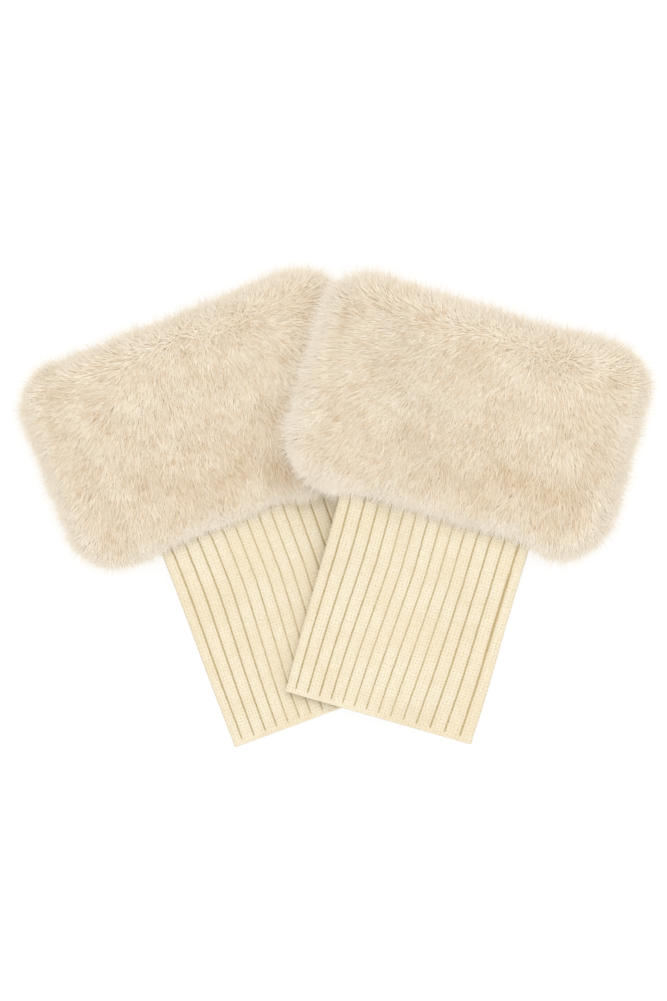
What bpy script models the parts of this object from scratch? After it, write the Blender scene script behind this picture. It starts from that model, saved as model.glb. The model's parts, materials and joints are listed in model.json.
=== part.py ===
"""A pair of knitted boot cuffs, laid flat with one partly on the other.

Each cuff is a wide band of plush fur with a ribbed knit tube inside it. The tube is joined to the band
near the band's top edge and comes out below it. Both are loops of cloth pressed flat, so each is a wall
lofted through rings: outer rings from the lower edge to the upper one, then inner rings back down.

In a cuff's own frame, across runs from side to side of the flattened band, along runs from the knit's hem
to the band's top edge, and the middle of the band is the origin. The left cuff lies on the surface. The
right cuff follows the same surface and rises smoothly over the left one.
"""

from dataclasses import dataclass

import bpy
import numpy as np

MM = 0.001

# Fur band, with the reach of its pile
BAND_HALF_WIDTH = 104 * MM
BAND_HALF_HEIGHT = 67.75 * MM
BAND_CORNER = 30 * MM
BAND_MIDDLE = 10.2 * MM
PILE_ABOVE = 8.5 * MM
PILE_SIDE = 9 * MM
FOLD_REACH = 11 * MM
NOSE = 14 * MM
LIP = 1 * MM
SAG_REACH = 30 * MM
SAG_HEIGHT = 36 * MM

# Knit tube
KNIT_WALL = 2.6 * MM
KNIT_HALF_THICK = 2.9 * MM

# Gaps
SEAM_GAP = 0.3 * MM
HOLLOW_HALF = KNIT_HALF_THICK + SEAM_GAP
CLOSED_HALF = 0.5 * MM
SIDE_ROOM = 3 * MM
CLOSING = 12 * MM
REST_GAP = 0.6 * MM

# How the upper cuff comes down beside the lower one
BAND_FALL = 66 * MM
KNIT_FALL = 30 * MM
KNIT_MARGIN = 4 * MM
RIM_START = 14 * MM
BLEND_POWER = 6

# How the knit comes down from the middle of the band to the surface
DROP_START = 4 * MM
DROP_LENGTH = 58 * MM

# Points round a ring
ROW_POINTS = 15
CORE_SHARE = 5 / 7
ROOM_SHARE = 6 / 7
KNIT_POINTS = 11
FOLD_POINTS = 5

# Half the knit's width at each distance above its hem: level, half_width
KNIT_WIDTHS = (
    (0 * MM, 58.5 * MM),
    (121 * MM, 59.5 * MM),
    (150 * MM, 63 * MM),
    (200 * MM, 68 * MM),
    (250 * MM, 70 * MM),
)

# Rings of the hollow, and of the knit inside it, from the middle of the band
INNER_LEVELS = np.array((-66.75, -62, -52, -39, -26, -13, 0, 13, 26, 39, 49, 57.75)) * MM
MOUTH_LEVELS = np.array((62, 66.75)) * MM
VISIBLE_SHARES = np.array((0, 0.1, 0.2, 0.3, 0.4, 0.5, 0.6, 0.7, 0.8, 0.9, 0.97))
CORNER_ANGLES = np.radians((0, 20, 40, 55, 70, 80, 90))
PLAIN_LEVELS = np.array((-26, -13, 0, 13, 26)) * MM


@dataclass(frozen=True)
class Cuff:
    """Where one cuff lies, how its knit hangs and what it lies on."""

    name: str
    centre: tuple[float, float]
    turn: float
    knit_offset: float
    knit_turn: float
    visible: float
    sag_at: float
    sag: float
    below: "Cuff | None" = None


LEFT = Cuff(
    name="left",
    centre=(-79.6 * MM, 50.9 * MM),
    turn=22.0,
    knit_offset=5.8 * MM,
    knit_turn=-1.7,
    visible=124 * MM,
    sag_at=-66 * MM,
    sag=2.5 * MM,
)
RIGHT = Cuff(
    name="right",
    centre=(79.4 * MM, 54.0 * MM),
    turn=-16.0,
    knit_offset=-1.4 * MM,
    knit_turn=0.0,
    visible=122.5 * MM,
    sag_at=76 * MM,
    sag=5 * MM,
    below=LEFT,
)

FUR_COLOUR = (0.80, 0.67, 0.51, 1.0)
FUR_ROUGHNESS = 0.9
KNIT_COLOUR = (0.90, 0.78, 0.56, 1.0)
KNIT_ROUGHNESS = 0.85
CREASE_ANGLE = np.radians(50)


def smooth_fall(distance, length):
    """1 where distance is 0 or less, 0 where it is length or more, and a smooth step between."""
    share = np.clip(distance / length, 0, 1)
    return 1 - share * share * (3 - 2 * share)


def turned(points, degrees):
    """Plan points turned about the origin, anticlockwise."""
    angle = np.radians(degrees)
    across, along = points[..., 0], points[..., 1]
    return np.stack(
        (
            across * np.cos(angle) - along * np.sin(angle),
            across * np.sin(angle) + along * np.cos(angle),
        ),
        axis=-1,
    )


def outside(points, half_width, half_height, corner):
    """Distance from each plan point to a rounded rectangle about the origin, negative inside it."""
    reach = np.abs(points) - (np.array((half_width, half_height)) - corner)
    beyond = np.linalg.norm(np.maximum(reach, 0), axis=-1)
    return beyond + np.minimum(reach.max(axis=-1), 0) - corner


def knit_half_width(level):
    """Half the knit's width at a distance above its hem, read between the rows of its table."""
    levels, widths = np.transpose(KNIT_WIDTHS)
    return np.interp(level, levels, widths)


def knit_middle(cuff, level):
    """Height of the knit's middle: half its thickness at the hem, the band's middle inside the band."""
    below_band = cuff.visible - DROP_START - level
    share = smooth_fall(below_band, DROP_LENGTH)
    return KNIT_HALF_THICK + (BAND_MIDDLE - KNIT_HALF_THICK) * share


def to_knit(cuff, points):
    """Plan points in the cuff's frame as points in its knit's frame, with the hem's middle as origin."""
    edge = np.array((cuff.knit_offset, -BAND_HALF_HEIGHT))
    return turned(points - edge, -cuff.knit_turn) + np.array((0, cuff.visible))


def from_knit(cuff, points):
    """Plan points in the knit's frame as points in the cuff's frame."""
    edge = np.array((cuff.knit_offset, -BAND_HALF_HEIGHT))
    return turned(points - np.array((0, cuff.visible)), cuff.knit_turn) + edge


def lift(cuff, points):
    """Height of what the cuff lies on, at plan points in its own frame.

    Over the lower band it is the band's height, over the lower knit the knit's height, and each falls
    smoothly to nothing beside them. Where both count, a power mean keeps the larger with no crease.
    """
    below = cuff.below
    if below is None:
        return np.zeros(points.shape[:-1])
    placed = turned(points, cuff.turn) + np.array(cuff.centre)
    on_band = turned(placed - np.array(below.centre), -below.turn)
    on_knit = to_knit(below, on_band)
    band_top = BAND_MIDDLE + HOLLOW_HALF + PILE_ABOVE + REST_GAP
    from_band = outside(on_band, BAND_HALF_WIDTH, BAND_HALF_HEIGHT, BAND_CORNER)
    band_part = band_top * smooth_fall(from_band + RIM_START, BAND_FALL)
    level = on_knit[..., 1]
    knit_top = knit_middle(below, level) + KNIT_HALF_THICK + REST_GAP
    past_side = np.abs(on_knit[..., 0]) - knit_half_width(level)
    from_knit_edge = np.hypot(np.maximum(past_side, 0), np.maximum(-level, 0))
    knit_part = knit_top * smooth_fall(from_knit_edge - KNIT_MARGIN, KNIT_FALL)
    return (band_part**BLEND_POWER + knit_part**BLEND_POWER) ** (1 / BLEND_POWER)


def flat_loop(row, fold_start, fold):
    """The loop of a flattened tube: across places, and heights from 1 on its upper row to -1 below.

    The upper row runs from left to right, a half turn of reach fold joins it to the lower row at the
    right, the lower row runs back, and another half turn closes the loop.
    """
    angles = np.linspace(np.pi / 2, -np.pi / 2, FOLD_POINTS + 2)[1:-1]
    right = fold_start + fold * np.cos(angles)
    left = -fold_start - fold * np.cos(angles[::-1])
    heights = np.concatenate((np.ones(len(row)), np.sin(angles), -np.ones(len(row)), np.sin(angles[::-1])))
    return np.concatenate((row, right, row[::-1], left)), heights


def band_half_width(level):
    """Half the band's outer width at a level, rounded off at the corners."""
    past = np.maximum(np.abs(level) - (BAND_HALF_HEIGHT - BAND_CORNER), 0)
    return BAND_HALF_WIDTH - BAND_CORNER + np.sqrt(np.maximum(BAND_CORNER**2 - past**2, 0))


def band_row(cuff, level, fold_start):
    """Across places of a band ring's rows: even steps over the knit, then its side room, then the fold."""
    above_hem = level + BAND_HALF_HEIGHT + cuff.visible
    core = knit_half_width(above_hem) - KNIT_HALF_THICK
    middle = from_knit(cuff, np.array((0, above_hem)))[0]
    room = core + KNIT_HALF_THICK + SIDE_ROOM
    knots = (-1, -ROOM_SHARE, -CORE_SHARE, CORE_SHARE, ROOM_SHARE, 1)
    core_end = fold_start - 2 * LIP
    core_left, core_right = np.clip((middle - core, middle + core), -core_end, core_end)
    room_end = fold_start - LIP
    room_left, room_right = np.clip((middle - room, middle + room), -room_end, room_end)
    places = (-fold_start, room_left, core_left, core_right, room_right, fold_start)
    return np.interp(np.linspace(-1, 1, ROW_POINTS), knots, places), middle, room


def sag(cuff, across, level):
    """How much lower the pile hangs beside the knit, most at the lower edge and nothing well above it."""
    beside = smooth_fall(np.abs(across - cuff.sag_at), SAG_REACH)
    return cuff.sag * beside * smooth_fall(level + BAND_HALF_HEIGHT, SAG_HEIGHT)


def band_ring(cuff, level, outer):
    """One ring of the band: the pile's reach if outer, or else the wall of the hollow for the knit.

    The hollow is as high as the knit needs and nearly closes beside it. The pile's reach is the hollow
    with the pile added, and draws in to a rounded nose at the band's upper and lower edges.
    """
    half_width = band_half_width(level)
    if not outer:
        half_width = half_width - PILE_SIDE
    fold = FOLD_REACH if outer else HOLLOW_HALF
    fold_start = half_width - fold
    row, middle, room = band_row(cuff, level, fold_start)
    across, heights = flat_loop(row, fold_start, fold)
    beside = np.abs(across - middle) - room
    hollow = CLOSED_HALF + (HOLLOW_HALF - CLOSED_HALF) * smooth_fall(beside, CLOSING)
    upper, lower = hollow, hollow
    along = np.full(len(across), level)
    if outer:
        along = along - sag(cuff, across, level)
        past = np.maximum(np.abs(level) - (BAND_HALF_HEIGHT - NOSE), 0) / NOSE
        nose = np.sqrt(np.maximum(1 - past**2, 0))
        upper = hollow + LIP + (PILE_ABOVE - LIP) * nose
        lower = hollow + LIP + (BAND_MIDDLE - hollow - LIP) * nose
    points = np.stack((across, along), axis=-1)
    rise = np.where(heights > 0, upper, lower) * heights
    return np.column_stack((points, BAND_MIDDLE + rise + lift(cuff, points)))


def band_rings(cuff):
    """The band's outer rings from its lower edge up, and the inner ones from its upper edge down."""
    start = BAND_HALF_HEIGHT - BAND_CORNER
    corner = start + BAND_CORNER * np.sin(CORNER_ANGLES)
    outer = np.concatenate((-corner[::-1], PLAIN_LEVELS, corner))
    inner = np.concatenate((INNER_LEVELS, MOUTH_LEVELS))[::-1]
    return (
        [band_ring(cuff, level, True) for level in outer],
        [band_ring(cuff, level, False) for level in inner],
    )


def knit_ring(cuff, level, outer):
    """One ring of the knit tube, on its outer face or its inner one, at a level above the hem."""
    inset = 0 if outer else KNIT_WALL
    fold = KNIT_HALF_THICK - inset
    core = knit_half_width(level) - KNIT_HALF_THICK
    row = np.linspace(-core, core, KNIT_POINTS)
    across, heights = flat_loop(row, core, fold)
    points = from_knit(cuff, np.stack((across, np.full(len(across), level)), axis=-1))
    middle = knit_middle(cuff, level)
    return np.column_stack((points, middle + fold * heights + lift(cuff, points)))


def knit_rings(cuff):
    """The knit tube's outer rings from its hem up, and the inner ones from its top edge down."""
    inside_band = INNER_LEVELS + BAND_HALF_HEIGHT + cuff.visible
    levels = np.concatenate((VISIBLE_SHARES * cuff.visible, inside_band))
    return (
        [knit_ring(cuff, level, True) for level in levels],
        [knit_ring(cuff, level, False) for level in levels[::-1]],
    )


def wall_triangles(outer_count, ring_count, point_count):
    """Triangles between each ring and the next, round to the first again.

    The rings outside run up and those inside run down, so each part splits its squares along the other
    diagonal. Faces of two pieces that share their places then bend along the same lines and stay clear.
    """
    here = np.arange(ring_count * point_count).reshape(ring_count, point_count)
    above = np.roll(here, -1, axis=0)
    beside = np.roll(here, -1, axis=1)
    across = np.roll(above, -1, axis=1)
    rising = np.stack((here, beside, across, here, across, above), axis=-1)
    falling = np.stack((here, beside, above, beside, across, above), axis=-1)
    return np.concatenate((rising[:outer_count], falling[outer_count:])).reshape(-1, 3)


def wall(name, outer_rings, inner_rings, material, parent, collection):
    """A closed wall of cloth: outer rings from its lower edge up, then inner rings back down."""
    rings = np.array(outer_rings + inner_rings)
    faces = wall_triangles(len(outer_rings), *rings.shape[:2])
    mesh = bpy.data.meshes.new(name)
    mesh.from_pydata(rings.reshape(-1, 3).tolist(), [], faces.tolist())
    mesh.materials.append(material)
    mesh.shade_smooth()
    mesh.set_sharp_from_angle(angle=CREASE_ANGLE)
    piece = bpy.data.objects.new(name, mesh)
    piece.parent = parent
    collection.objects.link(piece)
    return piece


def cloth_material(name, colour, roughness):
    """A plain cloth finish."""
    material = bpy.data.materials.new(name)
    material.use_nodes = True
    shader = material.node_tree.nodes["Principled BSDF"]
    shader.inputs["Base Color"].default_value = colour
    shader.inputs["Roughness"].default_value = roughness
    shader.inputs["Metallic"].default_value = 0.0
    return material


def empty_at(name, place, turn, parent, collection):
    """An empty that carries what is parented to it."""
    empty = bpy.data.objects.new(name, None)
    empty.location = (*place, 0)
    empty.rotation_euler = (0, 0, np.radians(turn))
    empty.parent = parent
    collection.objects.link(empty)
    return empty


def centre_on_origin(carrier, pieces):
    """Moves the carrier so that the middle of its pieces' box, in plan, is at the origin."""
    bpy.context.view_layer.update()
    corners = []
    for piece in pieces:
        world = np.array(piece.matrix_world)
        places = np.array([vertex.co for vertex in piece.data.vertices])
        corners.append(places @ world[:3, :3].T + world[:3, 3])
    every = np.concatenate(corners)
    middle = (every.min(axis=0) + every.max(axis=0)) / 2
    carrier.location = (-middle[0], -middle[1], 0)


def main():
    for thing in list(bpy.data.objects):
        bpy.data.objects.remove(thing, do_unlink=True)
    collection = bpy.data.collections.new("boot_cuffs")
    bpy.context.scene.collection.children.link(collection)
    fur = cloth_material("fur", FUR_COLOUR, FUR_ROUGHNESS)
    knit = cloth_material("knit", KNIT_COLOUR, KNIT_ROUGHNESS)
    pair = empty_at("pair", (0, 0), 0, None, collection)
    pieces = []
    for cuff in (LEFT, RIGHT):
        carrier = empty_at(f"{cuff.name}_cuff", cuff.centre, cuff.turn, pair, collection)
        pieces.append(wall(f"{cuff.name}_fur_band", *band_rings(cuff), fur, carrier, collection))
        pieces.append(wall(f"{cuff.name}_knit_tube", *knit_rings(cuff), knit, carrier, collection))
    centre_on_origin(pair, pieces)


main()
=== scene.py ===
"""The looks of a pair of knitted boot cuffs, laid flat with the right cuff partly on the left one.

A cuff is a wide band of plush fur with a ribbed knit tube inside it, joined near the band's top edge. Each
is made here from the sizes of its solid: the band as a thin pelt with its pile on it, strand by strand, and
the knit as a thin tube with its ribs and stitches.

In a cuff's own frame, across runs from side to side of the flattened band, along runs from the knit's hem
to the band's top edge, and the middle of the band is the origin. The knit's frame has its hem's middle as
origin. Heights are above the surface the pair lies on. All lengths are in metres.
"""

import json
import logging
from collections.abc import Mapping, Sequence
from dataclasses import dataclass, field, fields
from enum import Enum
from typing import Any

import bpy
import numpy as np
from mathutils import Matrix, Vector
from numpy.typing import NDArray


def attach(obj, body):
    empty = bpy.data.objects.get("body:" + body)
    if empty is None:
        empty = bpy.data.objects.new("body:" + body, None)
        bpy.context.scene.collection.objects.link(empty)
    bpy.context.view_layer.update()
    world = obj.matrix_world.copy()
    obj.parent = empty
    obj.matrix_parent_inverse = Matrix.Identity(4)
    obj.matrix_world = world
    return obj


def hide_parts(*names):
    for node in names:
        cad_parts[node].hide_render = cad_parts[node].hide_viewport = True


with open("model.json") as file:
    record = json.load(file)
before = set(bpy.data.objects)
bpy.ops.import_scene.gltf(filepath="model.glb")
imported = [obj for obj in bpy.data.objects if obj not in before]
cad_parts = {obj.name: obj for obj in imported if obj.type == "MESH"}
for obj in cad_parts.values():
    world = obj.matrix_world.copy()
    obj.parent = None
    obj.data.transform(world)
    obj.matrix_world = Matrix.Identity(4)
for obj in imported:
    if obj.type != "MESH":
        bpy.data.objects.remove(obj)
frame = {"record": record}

Array = NDArray[np.float64]
Whole = NDArray[np.int64]

LOG = logging.getLogger("boot_cuffs")
MM = 0.001
FULL_TURN = 2 * np.pi

# Added to a length or held under it, so that it can be divided by
TINY = 1e-9


# ---------------------------------------------------------------------------------------------- plan maths


def smooth_fall(distance: Array | float, length: float) -> Array:
    """1 where distance is 0 or less, 0 where it is length or more, and a smooth step between.

    Args:
        distance: how far along the fall, in any unit.
        length: the distance over which the value falls, in the same unit.

    Returns:
        1 - s * s * (3 - 2 * s), with s the share of the fall that is done.
    """
    share = np.clip(np.asarray(distance) / length, 0, 1)
    return 1 - share * share * (3 - 2 * share)


def turned(points: Array, degrees: Array | float) -> Array:
    """Plan points turned about the origin, anticlockwise.

    Args:
        points: plan points, with across and along in the last axis.
        degrees: one turn for all, or one for each point.

    Returns:
        The turned points: (x cos - y sin, x sin + y cos).
    """
    angle = np.radians(degrees)
    across, along = points[..., 0], points[..., 1]
    return np.stack(
        (across * np.cos(angle) - along * np.sin(angle), across * np.sin(angle) + along * np.cos(angle)),
        axis=-1,
    )


@dataclass(frozen=True)
class Outline:
    """A rounded rectangle about the origin, in plan."""

    half_width: float
    half_height: float
    corner: float

    def reach(self, points: Array) -> Array:
        """How far each point is past the corner arcs' middles, in each direction."""
        return np.abs(points) - (np.array((self.half_width, self.half_height)) - self.corner)

    def past(self, points: Array) -> Array:
        """Distance from each point to the outline, negative inside it.

        Args:
            points: plan points.

        Returns:
            The length of what reaches past the corners' middles, less the corner's radius.
        """
        reach = self.reach(points)
        beyond = np.linalg.norm(np.maximum(reach, 0), axis=-1)
        return beyond + np.minimum(reach.max(axis=-1), 0) - self.corner

    def away(self, points: Array) -> Array:
        """Unit directions that lead out of the outline the shortest way.

        Args:
            points: plan points.

        Returns:
            Beside a straight edge its normal, and at a corner the direction from the corner arc's middle.
        """
        reach = self.reach(points)
        lean = np.maximum(reach - np.minimum(reach.max(axis=-1, keepdims=True), 0), 0) + TINY
        return np.sign(points) * lean / np.linalg.norm(lean, axis=-1, keepdims=True)


def ripple(points: Array, size: float, seed: int) -> Array:
    """A smooth wander over the plan, mostly between -1 and 1.

    Args:
        points: plan points.
        size: about the distance from one crest to the next.
        seed: picks the waves.

    Returns:
        The sum of eight plane waves of unlike directions and lengths, scaled to a spread of a half.
    """
    rng = np.random.default_rng(seed)
    count = 8
    headings = rng.uniform(0, FULL_TURN, count)
    pitches = size * rng.uniform(0.7, 1.5, count)
    waves = np.stack((np.cos(headings), np.sin(headings))) / pitches
    heights = np.sin(FULL_TURN * points @ waves + rng.uniform(0, FULL_TURN, count))
    return heights.sum(axis=-1) * 0.25


def clumps(points: Array, spacing: float, seed: int) -> tuple[Array, Array]:
    """The clump that each plan point belongs to.

    Clump middles lie at random in the cells of a square grid, one in each, and a point joins the nearest.

    Args:
        points: plan points, one row each.
        spacing: the grid's step.
        seed: places the middles.

    Returns:
        The step from each point to its clump's middle, and a number from 0 to 1 for each point's clump.
    """
    cells = np.floor(points / spacing).astype(int)
    lowest = cells.min(axis=0) - 1
    spread = cells.max(axis=0) - lowest + 2
    spots = np.random.default_rng(seed).random((*spread, 3))
    nearest = np.full(len(points), np.inf)
    steps = np.zeros_like(points)
    marks = np.zeros(len(points))
    for shift in np.ndindex(3, 3):
        cell = cells + np.array(shift) - 1
        spot = spots[tuple((cell - lowest).T)]
        step = (cell + spot[:, :2]) * spacing - points
        gap = np.linalg.norm(step, axis=1)
        nearer = gap < nearest
        nearest = np.where(nearer, gap, nearest)
        steps = np.where(nearer[:, None], step, steps)
        marks = np.where(nearer, spot[:, 2], marks)
    return steps, marks


# ------------------------------------------------------------------------------------- how the cuffs lie


# The outline of a band with its pile, and that of its pelt
BAND = Outline(half_width=104 * MM, half_height=67.75 * MM, corner=30 * MM)
PELT = Outline(half_width=95 * MM, half_height=60 * MM, corner=22 * MM)

# Heights and thicknesses. The hollow in a band fits the knit and is nearly closed beside it.
BAND_MIDDLE = 10.2 * MM
PILE_ABOVE = 8.5 * MM
KNIT_WALL = 2.6 * MM
KNIT_HALF_THICK = 2.9 * MM
SEAM_GAP = 0.3 * MM
HOLLOW_HALF = KNIT_HALF_THICK + SEAM_GAP
CLOSED_HALF = 0.5 * MM
SIDE_ROOM = 3 * MM
CLOSING = 12 * MM

# The knit's top edge in the band's frame, and how it comes down from the band's middle to the surface
KNIT_TOP = 57.75 * MM
DROP_START = 4 * MM
DROP_LENGTH = 58 * MM

# How the upper cuff rests on the lower one: the gap, how far the two piles sink into each other, and how
# its height falls off past the lower band's rim and past the lower knit's sides
REST_GAP = 0.6 * MM
PILE_SINK = 5 * MM
BAND_FALL = 66 * MM
RIM_START = 14 * MM
KNIT_FALL = 30 * MM
KNIT_MARGIN = 4 * MM
BLEND_POWER = 6

# How far the sag of a band's lower edge reaches, to the sides and up
SAG_REACH = 30 * MM
SAG_HEIGHT = 36 * MM

# Where the two bands' top edges meet, and their lower ones, in the pair's frame
NOTCHES = ((-7 * MM, 136 * MM), (-1.4 * MM, 8.6 * MM))

# Half the knit's width at each distance above its hem: level, half_width
KNIT_WIDTHS = (
    (0 * MM, 58.5 * MM),
    (121 * MM, 59.5 * MM),
    (150 * MM, 63 * MM),
    (200 * MM, 68 * MM),
    (250 * MM, 70 * MM),
)


def knit_half_width(level: Array) -> Array:
    """Half the knit's width at a distance above its hem, read between the rows of its table."""
    levels, widths = np.transpose(KNIT_WIDTHS)
    return np.interp(level, levels, widths)


@dataclass(frozen=True)
class Cuff:
    """Where one cuff lies, how its knit hangs and what it lies on.

    The band is turned by turn degrees about its centre. The knit leaves the band's lower edge knit_offset
    from its middle, turned by knit_turn degrees more, and visible of its length shows. The pile hangs lower
    by sag at sag_at across the band, is shorter by trim all round, and is most tan at tan_at.
    """

    name: str
    centre: tuple[float, float]
    turn: float
    knit_offset: float
    knit_turn: float
    visible: float
    sag_at: float
    sag: float
    trim: float
    tan_at: float
    below: "Cuff | None" = None

    def rests_on(self, piece: str) -> list[str]:
        """What a piece of this cuff rests on: the same piece of the cuff below, or the floor."""
        return [f"{self.below.name}_{piece}"] if self.below else ["floor"]

    def to_row(self, points: Array) -> Array:
        """Plan points of this cuff's frame in the pair's frame."""
        return turned(points, self.turn) + np.array(self.centre)

    def to_own(self, points: Array) -> Array:
        """Plan points of the pair's frame in this cuff's frame."""
        return turned(points - np.array(self.centre), -self.turn)

    def to_knit(self, points: Array) -> Array:
        """Plan points of this cuff's frame in its knit's frame."""
        edge = np.array((self.knit_offset, -BAND.half_height))
        return turned(points - edge, -self.knit_turn) + np.array((0, self.visible))

    def from_knit(self, points: Array) -> Array:
        """Plan points of the knit's frame in this cuff's frame."""
        edge = np.array((self.knit_offset, -BAND.half_height))
        return turned(points - np.array((0, self.visible)), self.knit_turn) + edge

    def knit_middle(self, level: Array) -> Array:
        """Height of the knit's middle: half its thickness at the hem, the band's middle inside the band."""
        share = smooth_fall(self.visible - DROP_START - level, DROP_LENGTH)
        return KNIT_HALF_THICK + (BAND_MIDDLE - KNIT_HALF_THICK) * share

    def hollow(self, points: Array) -> Array:
        """Half the height of the band's hollow: what the knit needs, nearly closed beside it.

        Args:
            points: plan points of this cuff's frame.

        Returns:
            The hollow's half height, falling smoothly past the knit's sides.
        """
        on_knit = self.to_knit(points)
        beside = np.abs(on_knit[..., 0]) - knit_half_width(on_knit[..., 1]) - SIDE_ROOM
        return CLOSED_HALF + (HOLLOW_HALF - CLOSED_HALF) * smooth_fall(beside, CLOSING)

    def sagged(self, points: Array) -> Array:
        """Plan points moved down by the sag of the pile beside the knit.

        Args:
            points: plan points of this cuff's frame.

        Returns:
            The points, lower by the sag, which is most at the band's lower edge and at sag_at.
        """
        beside = smooth_fall(np.abs(points[..., 0] - self.sag_at), SAG_REACH)
        drop = self.sag * beside * smooth_fall(points[..., 1] + BAND.half_height, SAG_HEIGHT)
        return points - np.stack((np.zeros_like(drop), drop), axis=-1)

    def lift(self, points: Array) -> Array:
        """Height of what this cuff lies on.

        Over the lower band it is the band's height less what the two piles sink into each other, over the
        lower knit the knit's height, and each falls smoothly to nothing beside them. A power mean keeps the
        larger with no crease where both count.

        Args:
            points: plan points of this cuff's frame.

        Returns:
            A height for each point, and nothing but zeros for a cuff that lies on the surface.
        """
        below = self.below
        if below is None:
            return np.zeros(points.shape[:-1])
        on_band = below.to_own(self.to_row(points))
        on_knit = below.to_knit(on_band)
        band_top = BAND_MIDDLE + HOLLOW_HALF + PILE_ABOVE + REST_GAP - PILE_SINK
        band_part = band_top * smooth_fall(BAND.past(on_band) + RIM_START, BAND_FALL)
        level = on_knit[..., 1]
        knit_top = below.knit_middle(level) + KNIT_HALF_THICK + REST_GAP
        past_side = np.abs(on_knit[..., 0]) - knit_half_width(level)
        from_edge = np.hypot(np.maximum(past_side, 0), np.maximum(-level, 0))
        knit_part = knit_top * smooth_fall(from_edge - KNIT_MARGIN, KNIT_FALL)
        return (band_part**BLEND_POWER + knit_part**BLEND_POWER) ** (1 / BLEND_POWER)

    def placed(self, points: Array) -> Array:
        """Points of this cuff's frame, with heights above what it lies on, in the pair's frame.

        Args:
            points: across, along and height in the last axis.

        Returns:
            The same points turned and moved in plan, and raised by the lift at their places.
        """
        plan = points[..., :2]
        height = points[..., 2] + self.lift(plan)
        return np.concatenate((self.to_row(plan), height[..., None]), axis=-1)


# ------------------------------------------------------------------------------------------ mesh making


def made_piece(
    name: str,
    points: Array,
    faces: Sequence[Whole],
    bake_map: Array,
    material: bpy.types.Material,
    normals: Array | None = None,
) -> bpy.types.Object:
    """An object with a mesh laid down as whole arrays.

    Args:
        name: the piece's name.
        points: one row for each vertex, in the pair's frame.
        faces: arrays of vertex numbers, one row a face, each array with its own number of corners.
        bake_map: a place in the unit square for each vertex.
        material: the piece's finish.
        normals: a shading direction for each vertex, where the surface's own isn't wanted.

    Returns:
        The object, linked to the scene and smooth.
    """
    corners = np.concatenate([face.ravel() for face in faces]).astype(np.int32)
    sizes = np.concatenate([np.full(len(face), face.shape[1]) for face in faces])
    starts = np.concatenate(((0,), np.cumsum(sizes)[:-1])).astype(np.int32)
    mesh = bpy.data.meshes.new(name)
    mesh.vertices.add(len(points))
    mesh.vertices.foreach_set("co", points.astype(np.float32).ravel())
    mesh.loops.add(len(corners))
    mesh.loops.foreach_set("vertex_index", corners)
    mesh.polygons.add(len(starts))
    mesh.polygons.foreach_set("loop_start", starts)
    mesh.update(calc_edges=True)
    layer = mesh.uv_layers.new(name="OFBake")
    layer.data.foreach_set("uv", bake_map[corners].astype(np.float32).ravel())
    mesh.materials.append(material)
    mesh.shade_smooth()
    if normals is not None:
        mesh.normals_split_custom_set_from_vertices(normals.tolist())
    piece = bpy.data.objects.new(name, mesh)
    bpy.context.scene.collection.objects.link(piece)
    return piece


def wall_faces(rings: int, columns: int) -> Whole:
    """Squares between each ring of a closed wall and the next, and between its last ring and its first.

    Args:
        rings: the number of rings, out along one face of the wall and back along the other.
        columns: the number of points on each ring.

    Returns:
        One row of four vertex numbers a square.
    """
    here = np.arange(rings * columns).reshape(rings, columns)
    beside = np.roll(here, -1, axis=1)
    after = (np.roll(beside, -1, axis=0), np.roll(here, -1, axis=0))
    return np.stack((here, beside, *after), axis=-1).reshape(-1, 4)


def own_map(rows: Array, columns: Array) -> Array:
    """A place in the unit square for each point of a grid: its column's value, then its row's."""
    along, around = np.meshgrid(rows, columns, indexing="ij")
    return np.stack((around, along), axis=-1).reshape(-1, 2)


# --------------------------------------------------------------------------------------------- materials


class Field:
    """A number that varies over a surface. Arithmetic on it adds Math nodes."""

    def __init__(self, bench: "Bench", socket: bpy.types.NodeSocket) -> None:
        """Holds an output socket and the node tree's bench."""
        self.bench = bench
        self.socket = socket

    def maths(self, operation: str, *numbers: "float | Field") -> "Field":
        """One Math node on these numbers."""
        return self.bench.node("ShaderNodeMath", {"operation": operation}, dict(enumerate(numbers)))

    def __add__(self, other: "float | Field") -> "Field":
        """The sum of two fields."""
        return self.maths("ADD", self, other)

    def __sub__(self, other: "float | Field") -> "Field":
        """This field less another."""
        return self.maths("SUBTRACT", self, other)

    def __rsub__(self, other: float) -> "Field":
        """A number less this field."""
        return self.maths("SUBTRACT", other, self)

    def __mul__(self, other: "float | Field") -> "Field":
        """The product of two fields."""
        return self.maths("MULTIPLY", self, other)

    def __abs__(self) -> "Field":
        """This field without its sign."""
        return self.maths("ABSOLUTE", self)

    __radd__ = __add__
    __rmul__ = __mul__

    def off_whole(self) -> "Field":
        """Distance to the nearest whole number."""
        return self.maths("PINGPONG", self, 0.5)

    def cosine(self) -> "Field":
        """The cosine of this many full turns."""
        return self.maths("COSINE", self * FULL_TURN)

    def fall(self, start: float, end: float) -> "Field":
        """1 on start's side of the range, 0 on end's side, and a smooth step between."""
        return self.bench.node(
            "ShaderNodeMapRange",
            {"interpolation_type": "SMOOTHSTEP"},
            {"Value": self, "From Min": start, "From Max": end, "To Min": 1.0, "To Max": 0.0},
        )


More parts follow.
